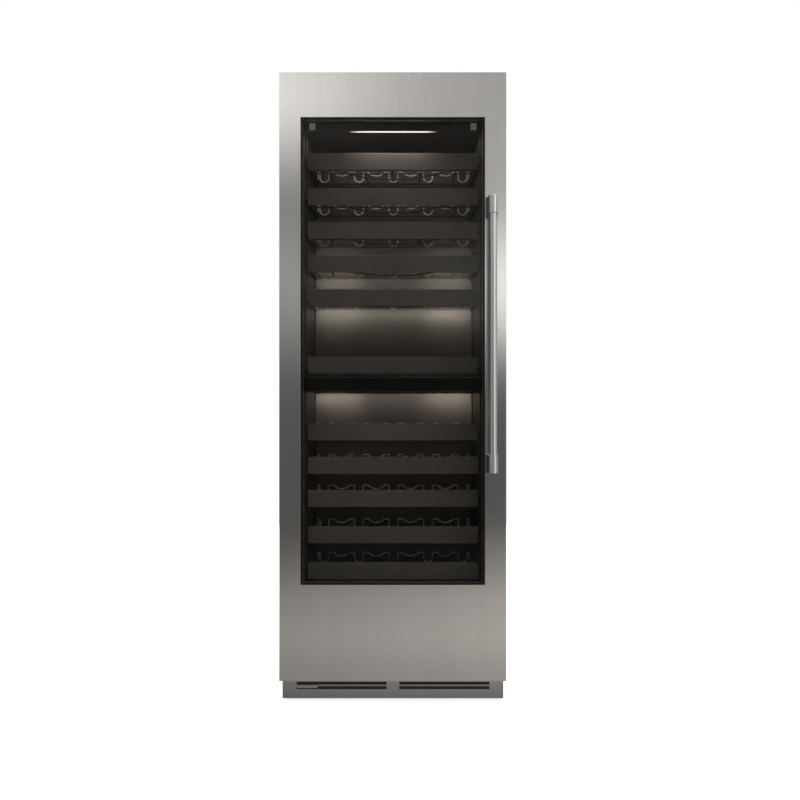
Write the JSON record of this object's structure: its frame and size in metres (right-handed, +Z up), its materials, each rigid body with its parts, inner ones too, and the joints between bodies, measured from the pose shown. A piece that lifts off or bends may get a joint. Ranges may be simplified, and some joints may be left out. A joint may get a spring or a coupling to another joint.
{
  "type": "wine cooler",
  "caption": "Full-height built-in wine cooler column: stainless framed glass door with bar handle, divided cabinet with sliding bottle racks, lit zones and a toe grille.",
  "frame": {"origin": "on the floor, under the centre of the whole object's box", "axes": "+Z up, -Y out of the front of the door, +X towards the handle's side"},
  "size_m": [0.762, 0.6978, 2.134],
  "materials": {
    "stainless": "vertical brushed grain, satin",
    "handle_metal": "satin tube",
    "door_frame": "fine matte black",
    "door_glass": "tinted, polished",
    "seal_rubber": "matte, soft magnetic seal",
    "galvanised_steel": "galvanised sheet, satin",
    "case_paint": "grey coated steel, satin",
    "foam": "matte, rigid foam",
    "liner_plastic": "dark grey, fine texture",
    "control_glass": "black, gloss",
    "duct_paint": "warm grey, satin",
    "fin_aluminium": "satin fins",
    "fan_plastic": "black moulded",
    "led_light": "warm white diffuser, lit",
    "rail_metal": "dark grey, satin",
    "roller_plastic": "hard black wheel",
    "compressor_paint": "black paint, gloss",
    "condenser_metal": "coated fins and tube",
    "rack_wire": "bright nickel wire",
    "rack_strip": "dark warm grey, satin"
  },
  "bodies": {
    "cabinet": {"toe_grille": "stainless", "hinge_bracket_upper": "galvanised_steel", "hinge_bracket_lower": "galvanised_steel", "outer_case": "case_paint", "back_panel": "galvanised_steel", "foam_insulation": "foam", "upper_liner": "liner_plastic", "lower_liner": "liner_plastic", "control_panel": "control_glass", "duct_panel_upper": "duct_paint", "duct_panel_lower": "duct_paint", "evaporator_upper": "fin_aluminium", "evaporator_lower": "fin_aluminium", "led_bar_upper": "led_light", "led_bar_lower": "led_light", "rack_rail_upper_left": "rail_metal", "rack_rail_upper_right": "rail_metal", "rack_rail_lower_left": "rail_metal", "rack_rail_lower_right": "rail_metal", "base_frame": "galvanised_steel", "compressor": "compressor_paint", "condenser_coil": "condenser_metal", "power_inlet": "fan_plastic"},
    "door": {"door_panel": "stainless", "door_inner_frame": "door_frame", "door_glass_outer": "door_glass", "door_glass_inner": "door_glass", "door_gasket": "seal_rubber", "handle_bar": "handle_metal", "handle_end_lower": "handle_metal", "handle_end_upper": "handle_metal"},
    "leg_left": {"levelling_leg_left": "galvanised_steel"},
    "leg_right": {"levelling_leg_right": "galvanised_steel"},
    "roller_left": {"rear_roller_left": "roller_plastic"},
    "roller_right": {"rear_roller_right": "roller_plastic"},
    "condenser_fan": {"condenser_fan": "fan_plastic"},
    "zone_fan_upper": {"zone_fan_upper": "fan_plastic"},
    "zone_fan_lower": {"zone_fan_lower": "fan_plastic"},
    "rack_01": {"rack_cradle_01": "rack_wire", "rack_front_01": "rack_strip"},
    "rack_02": {"rack_cradle_02": "rack_wire", "rack_front_02": "rack_strip"},
    "rack_03": {"rack_cradle_03": "rack_wire", "rack_front_03": "rack_strip"},
    "rack_04": {"rack_cradle_04": "rack_wire", "rack_front_04": "rack_strip"},
    "rack_05": {"rack_cradle_05": "rack_wire", "rack_front_05": "rack_strip"},
    "rack_06": {"rack_cradle_06": "rack_wire", "rack_front_06": "rack_strip"},
    "rack_07": {"rack_cradle_07": "rack_wire", "rack_front_07": "rack_strip"},
    "rack_08": {"rack_cradle_08": "rack_wire", "rack_front_08": "rack_strip"},
    "rack_09": {"rack_cradle_09": "rack_wire", "rack_front_09": "rack_strip"},
    "rack_10": {"rack_cradle_10": "rack_wire", "rack_front_10": "rack_strip"},
    "rack_11": {"rack_cradle_11": "rack_wire", "rack_front_11": "rack_strip"}
  },
  "joints": [
    {"name": "door_hinge", "type": "hinge", "parent": "cabinet", "child": "door", "pos_m": [-0.361, -0.233, 0], "axis": [0, 0, -1], "range_deg": [0, 110]},
    {"name": "rack_01_slide", "type": "slide", "parent": "cabinet", "child": "rack_01", "axis": [0, -1, 0], "range_m": [0, 0.075]},
    {"name": "rack_02_slide", "type": "slide", "parent": "cabinet", "child": "rack_02", "axis": [0, -1, 0], "range_m": [0, 0.075]},
    {"name": "rack_03_slide", "type": "slide", "parent": "cabinet", "child": "rack_03", "axis": [0, -1, 0], "range_m": [0, 0.075]},
    {"name": "rack_04_slide", "type": "slide", "parent": "cabinet", "child": "rack_04", "axis": [0, -1, 0], "range_m": [0, 0.075]},
    {"name": "rack_05_slide", "type": "slide", "parent": "cabinet", "child": "rack_05", "axis": [0, -1, 0], "range_m": [0, 0.075]},
    {"name": "rack_06_slide", "type": "slide", "parent": "cabinet", "child": "rack_06", "axis": [0, -1, 0], "range_m": [0, 0.075]},
    {"name": "rack_07_slide", "type": "slide", "parent": "cabinet", "child": "rack_07", "axis": [0, -1, 0], "range_m": [0, 0.075]},
    {"name": "rack_08_slide", "type": "slide", "parent": "cabinet", "child": "rack_08", "axis": [0, -1, 0], "range_m": [0, 0.075]},
    {"name": "rack_09_slide", "type": "slide", "parent": "cabinet", "child": "rack_09", "axis": [0, -1, 0], "range_m": [0, 0.075]},
    {"name": "rack_10_slide", "type": "slide", "parent": "cabinet", "child": "rack_10", "axis": [0, -1, 0], "range_m": [0, 0.075]},
    {"name": "rack_11_slide", "type": "slide", "parent": "cabinet", "child": "rack_11", "axis": [0, -1, 0], "range_m": [0, 0.05]},
    {"name": "leg_left_turn", "type": "hinge", "parent": "cabinet", "child": "leg_left", "pos_m": [-0.31, -0.13, 0], "axis": [0, 0, 1], "continuous": true},
    {"name": "roller_left_spin", "type": "hinge", "parent": "cabinet", "child": "roller_left", "pos_m": [-0.31, 0.27, 0.02], "axis": [1, 0, 0], "continuous": true},
    {"name": "leg_right_turn", "type": "hinge", "parent": "cabinet", "child": "leg_right", "pos_m": [0.31, -0.13, 0], "axis": [0, 0, 1], "continuous": true},
    {"name": "roller_right_spin", "type": "hinge", "parent": "cabinet", "child": "roller_right", "pos_m": [0.31, 0.27, 0.02], "axis": [1, 0, 0], "continuous": true},
    {"name": "condenser_fan_spin", "type": "hinge", "parent": "cabinet", "child": "condenser_fan", "pos_m": [-0.22, -0.0415, 0.195], "axis": [0, 1, 0], "continuous": true},
    {"name": "zone_fan_upper_spin", "type": "hinge", "parent": "cabinet", "child": "zone_fan_upper", "pos_m": [0, 0.2235, 1.813], "axis": [0, 1, 0], "continuous": true},
    {"name": "zone_fan_lower_spin", "type": "hinge", "parent": "cabinet", "child": "zone_fan_lower", "pos_m": [0, 0.2235, 0.911], "axis": [0, 1, 0], "continuous": true}
  ]
}
